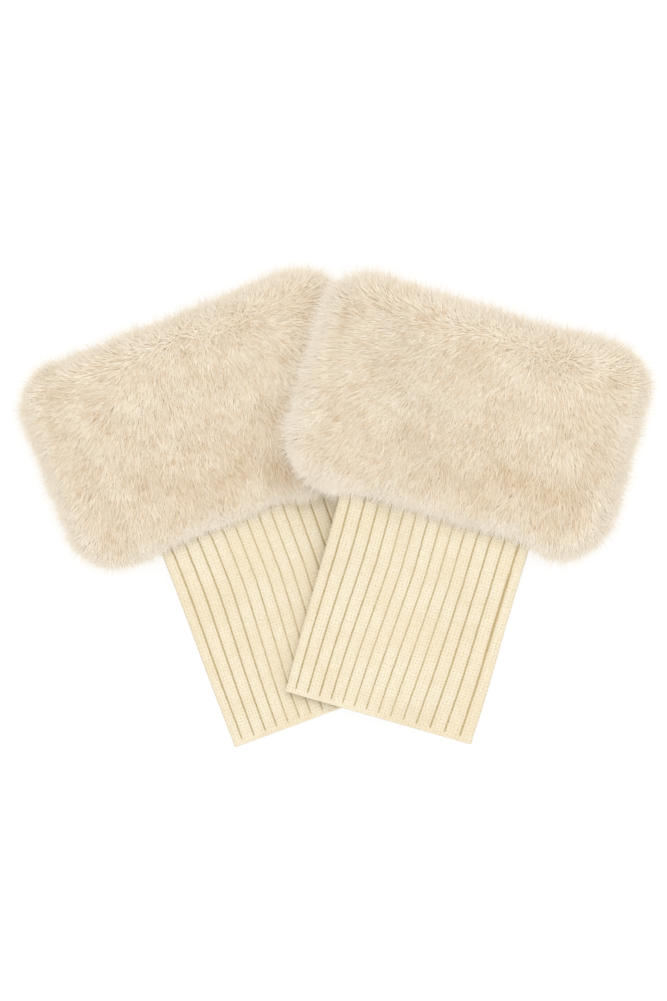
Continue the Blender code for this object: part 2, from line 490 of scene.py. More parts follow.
class Bench:
    """A material's node tree, with one method that adds any node."""

    def __init__(self, name: str) -> None:
        """Starts a material with its default shader."""
        self.material = bpy.data.materials.new(name)
        self.material.use_nodes = True
        self.tree = self.material.node_tree
        self.shader = self.tree.nodes["Principled BSDF"]

    def node(
        self,
        kind: str,
        settings: Mapping[str, Any] | None = None,
        sockets: Mapping[str | int, Any] | None = None,
        output: str | int = 0,
    ) -> Field:
        """Adds a node.

        Args:
            kind: the node's type.
            settings: its settings, and under "stops" a ramp's places and colours.
            sockets: values or fields for its inputs, by name or number.
            output: the output wanted.

        Returns:
            The wanted output.
        """
        made = self.tree.nodes.new(kind)
        for name, value in (settings or {}).items():
            if name == "stops":
                self.fill_ramp(made.color_ramp, value)
            else:
                setattr(made, name, value)
        for name, value in (sockets or {}).items():
            self.feed(made.inputs[name], value)
        return Field(self, made.outputs[output])

    def feed(self, socket: bpy.types.NodeSocket, value: Any) -> None:
        """Links a field to an input socket, or sets the socket's value."""
        if isinstance(value, Field):
            self.tree.links.new(value.socket, socket)
        else:
            socket.default_value = value

    @staticmethod
    def fill_ramp(ramp: bpy.types.ColorRamp, stops: Sequence[tuple[float, Sequence[float]]]) -> None:
        """Gives a colour ramp its stops, each a place and a colour."""
        while len(ramp.elements) < len(stops):
            ramp.elements.new(0.5)
        for element, (place, colour) in zip(ramp.elements, stops, strict=True):
            element.position = place
            element.color = colour

    def mixed(self, share: "float | Field", first: Any, second: Any) -> Field:
        """A colour between two, by a share from 0 to 1."""
        sockets = {"Factor": share, 6: first, 7: second}
        return self.node("ShaderNodeMix", {"data_type": "RGBA"}, sockets, output=2)

    def noise(self, place: Field, scale: float, detail: float = 2.0) -> Field:
        """Noise from 0 to 1 that varies over a place."""
        sockets = {"Vector": place, "Scale": scale, "Detail": detail}
        return self.node("ShaderNodeTexNoise", None, sockets)

    def dress(self, sockets: Mapping[str, Any]) -> bpy.types.Material:
        """Feeds the shader's sockets and returns the material."""
        for name, value in sockets.items():
            self.feed(self.shader.inputs[name], value)
        return self.material


def shade(red: float, green: float, blue: float, gain: float = 1.0) -> tuple[float, float, float, float]:
    """A colour from its display values out of 255.

    Args:
        red: the display red.
        green: the display green.
        blue: the display blue.
        gain: how many times brighter the surface is made.

    Returns:
        The linear colour: each value's share to the power 2.2, times the gain, and an alpha of 1.
    """
    values = np.power(np.array((red, green, blue)) / 255, 2.2) * gain
    return (*values.tolist(), 1.0)


@dataclass(frozen=True)
class PileFinish:
    """Fur: tan where a strand is dark or deep (deep tan partly painted shade), cream mid-range, pale rims of
    painted light.
    """

    name: str = "fur_pile"
    gain: float = 0.82
    dark: tuple[float, float, float] = (214, 184, 142)
    tan: tuple[float, float, float] = (236, 216, 186)
    cream: tuple[float, float, float] = (248, 237, 217)
    pale: tuple[float, float, float] = (252, 244, 230)
    places: tuple[float, ...] = (0.0, 0.3, 0.6, 1.0)
    # The tan tint near each root: partly the fur's own colour, partly painted shade deep in the pile
    root_tint: tuple[float, float, float] = (240, 214, 176)
    roughness: float = 0.75
    sheen: float = 0.4
    glow: float = 0.11

    def make(self) -> bpy.types.Material:
        """The material: a strand's tone picks its colour, and its root is tinted tan, partly as painted
        shade.

        Hair lets light through, which a flat opaque strand can't, so a faint glow of the strand's own
        colour stands in for it.
        """
        bench = Bench(self.name)
        unit = bench.node("ShaderNodeUVMap", {"uv_map": "OFBake"})
        tone = bench.node("ShaderNodeSeparateXYZ", None, {0: unit}, output="X")
        share = bench.node("ShaderNodeSeparateXYZ", None, {0: unit}, output="Y")
        shades = [shade(*colour, self.gain) for colour in (self.dark, self.tan, self.cream, self.pale)]
        stops = list(zip(self.places, shades, strict=True))
        tip = bench.node("ShaderNodeValToRGB", {"stops": stops}, {0: tone})
        root = shade(*self.root_tint, self.gain)
        # Towards the root the colour turns tan, partly as painted shade
        colour = bench.mixed(share.fall(0.0, 0.65) * 0.7, tip, root)
        return bench.dress(
            {
                "Base Color": colour,
                "Roughness": self.roughness,
                "Specular IOR Level": 0.2,
                "Sheen Weight": self.sheen,
                "Sheen Roughness": 0.5,
                "Emission Color": colour,
                "Emission Strength": self.glow,
            }
        )


@dataclass(frozen=True)
class PeltFinish:
    """The dense underfur on the pelt, seen only between strands and inside the band's mouth."""

    name: str = "fur_pelt"
    gain: float = 0.95
    light: tuple[float, float, float] = (240, 222, 194)
    deep: tuple[float, float, float] = (226, 200, 166)
    roughness: float = 0.95
    tuft_scale: float = 320.0
    tuft_height: float = 0.8 * MM

    def make(self) -> bpy.types.Material:
        """The material: mottled tan with a fine matted bump."""
        bench = Bench(self.name)
        place = bench.node("ShaderNodeTexCoord", output="Object")
        tufts = bench.noise(place, self.tuft_scale, 3.0)
        light, deep = shade(*self.light, self.gain), shade(*self.deep, self.gain)
        colour = bench.mixed(tufts.fall(0.35, 0.65), light, deep)
        bump = bench.node("ShaderNodeBump", None, {"Distance": self.tuft_height, "Height": tufts})
        return bench.dress(
            {"Base Color": colour, "Roughness": self.roughness, "Specular IOR Level": 0.1, "Normal": bump}
        )


@dataclass(frozen=True)
class KnitFinish:
    """Cream rib knit, with painted shade in golden olive in the grooves between ribs and in the gaps between
    stitches.
    """

    name: str
    ribs: int
    wales: int
    pitch: float
    length: float
    stitch: float
    gain: float = 0.755
    cream: tuple[float, float, float] = (254, 242, 216)
    warm: tuple[float, float, float] = (251, 236, 206)
    # Colours of painted shade: in the grooves, in the holes between stitches and at the fold
    khaki: tuple[float, float, float] = (204, 183, 126)
    gap: tuple[float, float, float] = (216, 196, 152)
    fold_tan: tuple[float, float, float] = (224, 198, 150)
    groove_half: float = 0.6 * MM
    roughness: float = 0.85
    patch_scale: float = 55.0
    uneven_scale: float = 260.0
    fibre_scale: float = 1100.0
    fibre_height: float = 0.15 * MM

    def make(self) -> bpy.types.Material:
        """The material: grooves by the distance to the nearest rib edge, gaps where stitches meet.

        Across the map a rib is one unit wide and has as many wales as wales says. A groove is painted shade
        in golden olive, beaded stitch by stitch, fainter in places in the middle of a face, and absent at
        the hem. Gaps are painted shade, dark flecks between wales and rows. The last rib of the face, at the
        fold, has tan painted shade in places.
        """
        bench = Bench(self.name)
        unit = bench.node("ShaderNodeUVMap", {"uv_map": "OFBake"})
        rib = bench.node("ShaderNodeSeparateXYZ", None, {0: unit}, output="X") * (2.0 * self.ribs)
        level = bench.node("ShaderNodeSeparateXYZ", None, {0: unit}, output="Y") * self.length
        place = bench.node("ShaderNodeTexCoord", output="Object")
        wander = bench.noise(place, self.patch_scale)
        uneven = bench.noise(place, self.uneven_scale) - 0.5
        fibre = bench.noise(place, self.fibre_scale)
        row = level * (1 / self.stitch)
        # Painted shade in the grooves: beaded by rows, fainter in places in a face's middle, none at the hem
        bead = (row + uneven).cosine() * 0.14 + 0.86
        from_middle = abs(rib.maths("PINGPONG", rib, float(self.ribs)) - self.ribs / 2)
        crisp = 1 - from_middle.fall(2.2, 4.2) * (wander.fall(0.42, 0.62) * 0.4)
        off = (rib + uneven * 0.12).off_whole() * self.pitch
        groove = off.fall(0.15 * MM, self.groove_half) * bead * crisp
        above_hem = 1 - level.fall(2.0 * MM, 4.0 * MM)
        # Painted shade in the holes between wales and rows, broken up by the fibre noise
        wale = rib * float(self.wales) + uneven * 0.5
        beside = wale.off_whole().fall(0.05, 0.4)
        between = (row + uneven * 1.4 + wale.off_whole() * 0.8).off_whole().fall(0.05, 0.32)
        gap = beside * between * fibre.fall(0.62, 0.4)
        tints = (self.cream, self.warm, self.gap, self.fold_tan, self.khaki)
        cream, warm, dark, fold, khaki = (shade(*tint, self.gain) for tint in tints)
        plain = bench.mixed(wander.fall(0.35, 0.65), cream, warm)
        # Random fibre flecks, and the painted shade of the stitch holes, darken the plain yarn
        flecks_and_gap_shade = bench.mixed(gap * 0.8 + fibre.fall(0.34, 0.56) * 0.34, plain, dark)
        # Painted shade at the fold: the face's last rib is tan in places
        last = abs(rib - (self.ribs - 1.0)).fall(0.06, 0.22) * wander.fall(0.6, 0.4)
        fold_shaded = bench.mixed(last * 0.7, flecks_and_gap_shade, fold)
        # The grooves' painted shade is laid over all the rest
        colour = bench.mixed(groove * above_hem, fold_shaded, khaki)
        bump = bench.node("ShaderNodeBump", None, {"Distance": self.fibre_height, "Height": fibre - gap})
        return bench.dress(
            {
                "Base Color": colour,
                "Roughness": self.roughness,
                "Specular IOR Level": 0.2,
                "Sheen Weight": 0.15,
                "Sheen Roughness": 0.6,
                "Normal": bump,
            }
        )


# ------------------------------------------------------------------------------------------------- knit


@dataclass
class KnitTube:
    """The ribbed knit tube of one cuff, pressed flat: 15 ribs on each face, its hem plain."""

    cuff: Cuff
    ribs: int = 15
    wales: int = 4
    stitch: float = 1.9 * MM

    # A groove: its depth, its flat floor, the fall of its sides, and how much shallower it is within
    # close_ribs of a face's middle
    groove_depth: float = 1.1 * MM
    groove_floor: float = 0.12 * MM
    shoulder: float = 0.85 * MM
    shallower: float = 0.2
    close_ribs: float = 2.2

    # How much closer the ribs are in a face's middle, and how much they lean to one side near the hem
    crowding: float = 0.06
    veer: float = 0.05
    veer_start: float = 90 * MM

    # A stitch's height, its rows' slope beside a wale, and what part of it stays in the hem
    stitch_height: float = 0.22 * MM
    row_slope: float = 0.4
    hem_stitches: float = 0.4
    hem_start: float = 1.5 * MM
    hem_fade: float = 3 * MM
    lip_radius: float = 0.8 * MM

    # The sides' wave, and its length
    wave: float = 0.5 * MM
    wave_length: float = 60 * MM

    # Rings of points on the outer face where it shows and above, and on the inner face
    shown_rows: int = 226
    hidden_rows: int = 12
    hidden_start: float = 8 * MM
    inner_rows: int = 9

    # Places of a rib's columns, as shares of its pitch from one groove's middle to the next
    front_columns: tuple[float, ...] = (
        0, 0.04, 0.085, 0.14, 0.22, 0.32, 0.43, 0.54, 0.65, 0.75, 0.83, 0.9, 0.95,
    )
    back_columns: tuple[float, ...] = (0, 0.09, 0.22, 0.5, 0.78, 0.91)

    @property
    def length(self) -> float:
        """The knit's length from hem to top edge."""
        return self.cuff.visible + BAND.half_height + KNIT_TOP

    @property
    def around(self) -> float:
        """The tube's length round, at its hem."""
        return 4 * (knit_half_width(0.0) - KNIT_HALF_THICK) + FULL_TURN * KNIT_HALF_THICK

    @property
    def pitch(self) -> float:
        """The width of a rib."""
        return self.around / (2 * self.ribs)

    def finish(self) -> KnitFinish:
        """The yarn's finish, which follows this tube's ribs and stitches."""
        name = f"{self.cuff.name}_knit_yarn"
        return KnitFinish(name, self.ribs, self.wales, self.pitch, self.length, self.stitch)

    def columns(self) -> Array:
        """The columns' places round the tube, from 0 at the left fold to 1 there again."""
        front = np.arange(self.ribs)[:, None] + np.array(self.front_columns)
        back = np.arange(self.ribs, 2 * self.ribs)[:, None] + np.array(self.back_columns)
        return np.concatenate((front.ravel(), back.ravel())) / (2 * self.ribs)

    def outer_levels(self) -> Array:
        """The rows' levels: close together where the knit shows, wide apart inside the band."""
        lip = np.array((0, 0.15, 0.4)) * MM
        seen_to = self.cuff.visible + self.hidden_start
        shown = np.linspace(self.lip_radius, seen_to, self.shown_rows)
        hidden = np.linspace(seen_to, self.length, self.hidden_rows + 1)[1:]
        return np.concatenate((lip, shown, hidden))

    def relief(self, around: Array, level: Array) -> Array:
        """How far the surface stands in from the smooth tube, in metres, at each place.

        A groove is a smooth notch round each whole number of ribs, shallower in the middle of the face
        where the ribs lie closer. A stitch is a low hump whose rows rise to either side of its wale.
        Grooves fade out at the hem and stitches fade partly, and the hem's lower lip is rounded.

        Args:
            around: places round the tube, from 0 to 1.
            level: distances above the hem.

        Returns:
            Depths, positive inwards.
        """
        rib = around * 2 * self.ribs
        off = np.abs(rib - np.round(rib)) * self.pitch
        from_middle = np.abs(np.mod(rib, self.ribs) - self.ribs / 2)
        depth = self.groove_depth * (1 - self.shallower * smooth_fall(from_middle - self.close_ribs, 2))
        groove = depth * smooth_fall(off - self.groove_floor, self.shoulder)
        wale = rib * self.wales
        aside = np.abs(wale - np.round(wale)) * 2
        hump = 0.5 + 0.5 * np.cos(FULL_TURN * (level / self.stitch + self.row_slope * aside))
        stitches = self.stitch_height * (1 - hump * (0.4 + 0.6 * aside))
        past_hem = 1 - smooth_fall(level - self.hem_start, self.hem_fade)
        lip = self.lip_radius * (1 - np.sqrt(1 - np.clip(1 - level / self.lip_radius, 0, 1) ** 2))
        in_hem = self.hem_stitches * stitches * (level > self.lip_radius)
        return (groove + (1 - self.hem_stitches) * stitches) * past_hem + in_hem + lip

    def crowded(self, around: Array, level: Array) -> Array:
        """Places round the tube with the ribs closer together in the middle of each face.

        Below veer_start the ribs also lean to one side, most in the middle of a face.

        Args:
            around: places as if all ribs were alike, from 0 to 1, one a column.
            level: distances above the hem, one a row.

        Returns:
            On each face p (1 - c + c p p) - v (1 - p p), with p from -1 to 1 across the face, c the
            crowding and v the lean, which grows evenly towards the hem.
        """
        face = np.floor(around * 2)
        from_middle = 2 * (around * 2 - face) - 1
        crowded = from_middle * (1 - self.crowding + self.crowding * from_middle**2)
        lean = self.veer * np.maximum(self.veer_start - level, 0) / knit_half_width(level)
        moved = crowded - lean[:, None] * (1 - from_middle**2)
        return (face + (moved + 1) / 2) / 2

    def rings(self, around: Array, level: Array, inset: Array) -> Array:
        """Points of the flattened tube.

        The loop is the track of a circle's middle, a straight run there and back, with the circle's radius
        added along a normal that turns through half a circle at each fold.

        Args:
            around: places round the tube, one a column.
            level: distances above the hem, one a row.
            inset: how far each point is inside the knit's outer face.

        Returns:
            Points of the cuff's frame, with heights above what it lies on.
        """
        core = (knit_half_width(level) - KNIT_HALF_THICK)[:, None]
        quarter = np.pi / 2 * KNIT_HALF_THICK
        run = self.crowded(around, level) * (4 * core + 4 * quarter)
        first = np.clip(run / quarter, 0, 1)
        right = np.clip((run - quarter - 2 * core) / (2 * quarter), 0, 1)
        last = np.clip((run - 3 * quarter - 4 * core) / quarter, 0, 1)
        normal = np.pi / 2 * (first - 1) + np.pi * right + np.pi / 2 * last
        there = np.clip(run - quarter, 0, 2 * core)
        back = np.clip(run - 3 * quarter - 2 * core, 0, 2 * core)
        radius = KNIT_HALF_THICK - inset
        across = there - back - core + radius * np.sin(normal)
        levels = np.broadcast_to(level[:, None], across.shape)
        sway = self.wave * ripple(np.stack((across * 0.4, levels), axis=-1), self.wave_length, 11)
        plan = self.cuff.from_knit(np.stack((across + sway, levels), axis=-1))
        height = self.cuff.knit_middle(levels) + radius * np.cos(normal)
        return np.concatenate((plan, height[..., None]), axis=-1)

    def make(self) -> bpy.types.Object:
        """Returns:
            One closed wall of cloth.
        """
        around = self.columns()
        levels = self.outer_levels()
        grid_around, grid_level = np.meshgrid(around, levels)
        outer = self.rings(around, levels, self.relief(grid_around, grid_level))
        inner_levels = np.linspace(self.length, 0, self.inner_rows)
        inset = np.full((self.inner_rows, len(around)), KNIT_WALL)
        rows = np.concatenate((outer, self.rings(around, inner_levels, inset)))
        points = self.cuff.placed(rows).reshape(-1, 3)
        faces = wall_faces(len(rows), len(around))
        bake_map = own_map(np.concatenate((levels, inner_levels)) / self.length, around)
        tube = made_piece(f"{self.cuff.name}_knit", points, [faces], bake_map, self.finish().make())
        self.declare(tube)
        return tube

    def declare(self, piece: bpy.types.Object) -> None:
        """Attaches the knit to the root body and hides the solid it stands for."""
        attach(piece, "root")
        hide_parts(f"{self.cuff.name}_knit_tube")
        on = self.cuff.rests_on("knit")
        self.length


# -------------------------------------------------------------------------------------------------- fur


@dataclass
class Pelt:
    """The band's pelt: a thin wall in the form of the flattened band, open at both edges."""

    cuff: Cuff
    thick: float = 1.6 * MM
    fold: float = 4.2 * MM
    edge_round: float = 3 * MM
    row_points: int = 33
    fold_points: int = 5
    ring_count: int = 31

    @property
    def around(self) -> float:
        """The band's length round, at its middle."""
        return 4 * PELT.half_width

    def half(self, points: Array) -> Array:
        """Half the band's thickness to the pelt's outer face, rounded off at the folds and edges.

        Args:
            points: plan points of the cuff's frame, inside the pelt's outline.

        Returns:
            The hollow's half height and the pelt's thickness, times a quarter circle near the outline.
        """
        inside = np.clip(-PELT.past(points) / self.edge_round, 0, 1)
        return (self.cuff.hollow(points) + self.thick) * np.sqrt(1 - (1 - inside) ** 2)

    def ring(self, level: float, inset: float) -> Array:
        """One ring of the wall.

        Args:
            level: the ring's place along the band.
            inset: 0 on the outer face, and the pelt's thickness on the inner one.

        Returns:
            Points of the cuff's frame: the front row from left to right, the fold, the back row and the
            other fold.
        """
        past = max(abs(level) - (PELT.half_height - PELT.corner), 0)
        half_width = PELT.half_width - PELT.corner + np.sqrt(max(PELT.corner**2 - past**2, 0))
        start = half_width - self.fold
        reach = self.fold - inset
        row = np.linspace(-start, start, self.row_points)
        angles = np.linspace(np.pi / 2, -np.pi / 2, self.fold_points + 2)[1:-1]
        side = start + reach * np.cos(angles)
        across = np.concatenate((row, side, row[::-1], -side[::-1]))
        upper = np.ones(self.row_points)
        heights = np.concatenate((upper, np.sin(angles), -upper, np.sin(angles[::-1])))
        plan = np.stack((across, np.full(len(across), level)), axis=-1)
        half = self.cuff.hollow(plan) + self.thick - inset
        edge = np.clip((PELT.half_height - abs(level)) / self.thick, 0, 1)
        narrowed = half - (self.thick / 2 - inset) * (1 - edge)
        return np.column_stack((self.cuff.sagged(plan), BAND_MIDDLE + narrowed * heights))

    def make(self, material: bpy.types.Material) -> bpy.types.Object:
        """Builds the pelt.

        Args:
            material: the underfur's finish.

        Returns:
            One closed wall: outer rings from the lower edge up, then inner rings back down.
        """
        levels = PELT.half_height * np.sin(np.linspace(-np.pi / 2, np.pi / 2, self.ring_count))
        outer = [self.ring(level, 0.0) for level in levels]
        inner = [self.ring(level, self.thick) for level in levels[::-1]]
        rows = np.array(outer + inner)
        rings, columns = rows.shape[:2]
        bake_map = own_map(np.linspace(0, 1, rings), np.linspace(0, 1, columns))
        points = self.cuff.placed(rows).reshape(-1, 3)
        faces = wall_faces(rings, columns)
        return made_piece(f"{self.cuff.name}_fur_pelt", points, [faces], bake_map, material)


class Zone(Enum):
    """Where on the band a growth of pile is rooted."""

    TOP = "top"
    RIM = "rim"
    UNDER = "under"


@dataclass
class Bed:
    """Where the strands of a growth are rooted, one row each, and what is near each root.

    fan is 1 for a strand that points up and -1 for one that points down. inside is the distance inside the
    pelt's outline, and away the way out of it. The others are shares from 0 to 1: rim beside the outline,
    upright at the parting, crowded where the lower band's pile is heaped against the upper band, and draped
    where the upper band's pile hangs over the lower one.
    """

    plan: Array
    fan: Array
    inside: Array
    away: Array
    rim: Array
    upright: Array
    crowded: Array
    draped: Array


@dataclass(frozen=True)
class Stance:
    """A strand's angle above level, in degrees: a base, what each share adds, and a part of the spread."""

    base: float
    fan: float = 0.0
    upright: float = 0.0
    rim: float = 0.0
    crowded: float = 0.0
    draped: float = 0.0
    spread: float = 1.0

    def angles(self, bed: Bed, spread: Array) -> Array:
        """The sum of the base, each share times what it adds and the part of the spread, in radians."""
        shares = self.fan * bed.fan + self.upright * bed.upright + self.rim * bed.rim
        beside = self.crowded * bed.crowded + self.draped * bed.draped
        return np.radians(self.base + shares + beside + self.spread * spread)


@dataclass(frozen=True)
class Habit:
    """How a zone grows: its angles at root and tip, how far inside the outline, and which way it points."""

    rise: Stance
    droop: Stance
    least_inside: float = 0.0
    most_inside: float = np.inf
    fan: float = 1.0


HABITS = {
    Zone.TOP: Habit(
        rise=Stance(52.0, upright=4.0, rim=-16.0),
        droop=Stance(4.0, upright=10.0, rim=-14.0, crowded=24.0, draped=-12.0, spread=0.6),
    ),
    Zone.RIM: Habit(
        rise=Stance(0.0, fan=40.0, crowded=20.0, draped=-8.0),
        droop=Stance(-4.0, fan=8.0, crowded=20.0, draped=-12.0, spread=0.6),
        most_inside=5 * MM,
    ),
    Zone.UNDER: Habit(
        rise=Stance(-32.0, spread=0.5),
        droop=Stance(-4.0, spread=0.3),
        least_inside=4 * MM,
        fan=-1.0,
    ),
}


@dataclass
class Strands:
    """Strands of pile before they are meshed, one row each, in the cuff's frame, with angles in radians."""

    roots: Array
    heading: Array
    rise: Array
    droop: Array
    length: Array
    width: Array
    twist: Array
    tone: Array
    pull: Array

    @classmethod
    def joined(cls, growths: Sequence["Strands"]) -> "Strands":
        """Several growths as one."""
        names = [item.name for item in fields(cls)]
        return cls(**{name: np.concatenate([getattr(growth, name) for growth in growths]) for name in names})


@dataclass
class Pile:
    """The pile of one cuff's band: where it is rooted, which way it lies and how light each strand is."""

    cuff: Cuff
    pelt: Pelt
    seed: int

    # The parting's ends, its place along the band and its wave, and how near it strands stand up
    parting_left: float = -28 * MM
    parting_right: float = 50 * MM
    parting_at: float = 50 * MM
    parting_spread: float = 0.9
    parting_shift: float = 7 * MM
    parting_wave: float = 5 * MM
    upright_reach: float = 15 * MM

    # How much of the flow leads out of the band beside its outline, and more at the top edge
    rim_reach: float = 16 * MM
    outward: float = 0.55
    outward_top: float = 0.3

    # How far, in radians, the flow bends over each distance, and each strand turns aside by itself, with
    # its clump, with its tuft, at the parting and round the rim
    bends: tuple[tuple[float, float], ...] = ((45 * MM, 0.22), (16 * MM, 0.16))
    aside: float = 0.24
    clump_aside: float = 0.14
    tuft_aside: float = 0.1
    parting_aside: float = 2.2
    rim_aside: float = 0.3

    # Spreads of the angles in degrees: of rise and droop, more of both round the rim, and of curl and twist
    spread: float = 5.0
    rim_spread: float = 14.0
    rim_curl: float = 32.0
    top_twist: float = 16.0
    rim_twist: float = 35.0
    under_twist: float = 20.0

    # A strand's length on the face and below and its width, the shares of these that chance gives it, and
    # the part of that width it has at the face's edge and round the rim
    strand: float = 11.5 * MM
    under_strand: float = 9 * MM
    strand_width: float = 0.44 * MM
    lengths: tuple[float, float] = (0.74, 1.1)
    widths: tuple[float, float] = (0.7, 1.25)
    edge_width: float = 0.55
    rim_width: float = 0.28

    # What makes strands shorter or longer: the parting, the rim, the wander of the height, a tuft, the
    # pile heaped at the overlap, that which hangs there, the top edge, the middle of the sides and the
    # notches between the bands
    parting_shorter: float = 0.1
    rim_shorter: float = 0.05
    wander_longer: float = 0.07
    tuft_longer: float = 0.08
    crowded_longer: float = 0.5
    draped_longer: float = 3 * MM
    top_longer: float = 0.06
    side_bulge: float = 2 * MM
    notch_longer: float = 6 * MM
    notch_size: float = 5 * MM
    notch_reach: float = 16 * MM

    # How ragged the fringe is, and how its few longest hairs thin out
    fringe: float = 4 * MM
    fringe_longest: float = 9 * MM
    fringe_fade: float = 2.8 * MM

    # Distances between locks, clumps and tufts, and over which the pile's height wanders
    lock: float = 1.2 * MM
    clump: float = 3.2 * MM
    tuft: float = 9 * MM
    wander: float = 24 * MM

    # Tones, from 0, tan, to 1, pale: the middle one, the tan patch's place, size and depth, half the width
    # of the tan strip along the parting, the reach and amount of the painted light that makes the rim paler
    # and how much less of it there is at the top edge, and what the upper and the lower band gain at the
    # overlap, where the upper band's gain is painted light on its edge
    middle_tone: float = 0.55
    tan_along: float = -27 * MM
    tan_size: tuple[float, float] = (60 * MM, 24 * MM)
    tan_depth: float = 0.26
    tan_strip: float = 9 * MM
    pale_reach: float = 16 * MM
    pale_rim: float = 0.28
    pale_top: float = 0.08
    upper_gain: float = 0.08
    lower_gain: float = -0.03

    # Each strand's own tone: its spread, that of its lock, and how rare and how deep the dark ones are
    strand_tone: float = 0.055
    lock_tone: float = 0.13
    dark_strands: float = 0.04
    dark_strand: float = 0.2
    dark_locks: float = 0.16
    dark_lock: float = 0.23

    # The strip beside the upper band's edge in which the two piles change each other: how far outside that
    # edge its middle runs, how far it reaches and how far it goes past the lower band. Last, how far
    # inside its edge the upper band covers the lower one
    overlap_past: float = 2 * MM
    overlap_reach: float = 20 * MM
    overlap_end: float = 8 * MM
    covered_inside: float = 9 * MM

    # How far the shading direction leans out at the rim, more at the top edge, and at the overlap
    lean_reach: float = 12 * MM
    lean: float = 0.4
    lean_top: float = 0.2
    heap_lean: float = 0.7

    rng: np.random.Generator = field(init=False)

    def __post_init__(self) -> None:
        """Starts the seeded draws."""
        self.rng = np.random.default_rng(self.seed)

    def scattered(self, count: int, inner: float, outer: float) -> Array:
        """Random places on the pelt between two distances inside its outline.

        Args:
            count: how many.
            inner: the greatest distance inside the outline.
            outer: the least.

        Returns:
            Plan points of the cuff's frame.
        """
        half = np.array((PELT.half_width, PELT.half_height))
        found = np.empty((0, 2))
        while len(found) < count:
            drawn = self.rng.uniform(-half, half, (count, 2))
            inside = -PELT.past(drawn)
            found = np.concatenate((found, drawn[(inside >= outer) & (inside < inner)]))
        return found[:count]

    def flow(self, points: Array) -> tuple[Array, Array]:
        """The way the pile lies in plan, and how far it is from the parting.

        Strands lead away from the parting, a line across the band below its top edge. Each leads away from
        a point on that line beside it, which stays between the line's ends however far aside the strand
        is. Near the outline strands lead out of the band, most at its top edge.

        Args:
            points: plan points of the cuff's frame.

        Returns:
            Unit directions, and distances from the parting.
        """
        across = points[:, 0] * self.parting_spread + self.parting_shift
        middle = (self.parting_left + self.parting_right) / 2
        half = (self.parting_right - self.parting_left) / 2
        on_line = middle + half * np.tanh((across - middle) / half)
        line = np.stack((on_line, np.zeros_like(on_line)), axis=-1)
        wave = self.parting_wave * ripple(line, 70 * MM, self.seed + 1)
        step = points - np.stack((on_line, self.parting_at + wave), axis=-1)
        distance = np.linalg.norm(step, axis=1)
        radial = step / np.maximum(distance, TINY)[:, None]
        away = PELT.away(points)
        most_out = self.outward + self.outward_top * np.maximum(away[:, 1], 0)
        share = (smooth_fall(-PELT.past(points), self.rim_reach) * most_out)[:, None]
        blend = radial * (1 - share) + away * share
        angle = np.arctan2(blend[:, 1], blend[:, 0])
        for number, (size, bend) in enumerate(self.bends):
            angle = angle + bend * ripple(points, size, self.seed + 2 + number)
        return np.stack((np.cos(angle), np.sin(angle)), axis=-1), distance

    def tones(self, points: Array) -> Array:
        """How light the pile is at each plan point, from 0, tan, to 1, pale.

        Args:
            points: plan points of the cuff's frame.

        Returns:
            The middle tone, darker in a soft uneven patch below the band's middle and a little along the
            parting, and paler at the rim and on the upper band's edge over the lower one. That paleness is
            painted
            light: it stands in for light through the thin fringe and offsets the shade there.
        """
        from_tan = (points - np.array((self.cuff.tan_at, self.tan_along))) / np.array(self.tan_size)
        low_middle = np.exp(-(from_tan**2).sum(axis=1))
        parting = np.exp(-(((points[:, 1] - self.parting_at) / self.tan_strip) ** 2))
        uneven = 0.8 + 0.45 * ripple(points, 26 * MM, self.seed + 4)
        patches = np.maximum((0.6 * low_middle + 0.2 * parting) * uneven, 0)
        # Painted light: the pile is made paler near the rim, less so at the top edge
        rim = smooth_fall(-PELT.past(points), self.pale_reach)
        pale = self.pale_rim - self.pale_top * PELT.away(points)[:, 1]
        # Painted light: the upper band's edge over the lower band is made paler; the lower band beside it is
        # a little more tan
        overlap = (self.upper_gain if self.cuff.below else self.lower_gain) * self.beside_other(points)
        cloud = 0.05 * ripple(points, 30 * MM, self.seed + 5)
        return self.middle_tone - self.tan_depth * patches + pale * rim + overlap + cloud

    def beside_other(self, points: Array) -> Array:
        """1 along the line where one band's edge lies on the other band, and 0 well away from it.

        Args:
            points: plan points of the cuff's frame.

        Returns:
            A share that falls with the distance to the upper band's outline, over the lower band only.
        """
        row = self.cuff.to_row(points)
        from_edge = np.abs(BAND.past(RIGHT.to_own(row)) - self.overlap_past)
        past_lower = BAND.past(LEFT.to_own(row))
        return smooth_fall(from_edge, self.overlap_reach) * smooth_fall(past_lower, self.overlap_end)

    def bed(self, zone: Zone, count: int) -> tuple[Bed, Array]:
        """Random places in a zone, what is near them and the way the pile flows there.

        Args:
            zone: where on the band.
            count: how many places.

        Returns:
            The bed, and unit directions in plan.
        """
        habit = HABITS[zone]
        plan = self.scattered(count, habit.most_inside, habit.least_inside)
        fan = self.rng.uniform(-1, 1, count) if zone is Zone.RIM else np.full(count, habit.fan)
        inside = -PELT.past(plan)
        beside = self.beside_other(plan)
        crowded = beside * (self.cuff.below is None)
        draped = beside * (self.cuff.below is not None)
        rim = smooth_fall(inside, self.rim_reach) * (1 - crowded)
        heading, from_parting = self.flow(plan)
        upright = smooth_fall(from_parting, self.upright_reach)
        return Bed(plan, fan, inside, PELT.away(plan), rim, upright, crowded, draped), heading

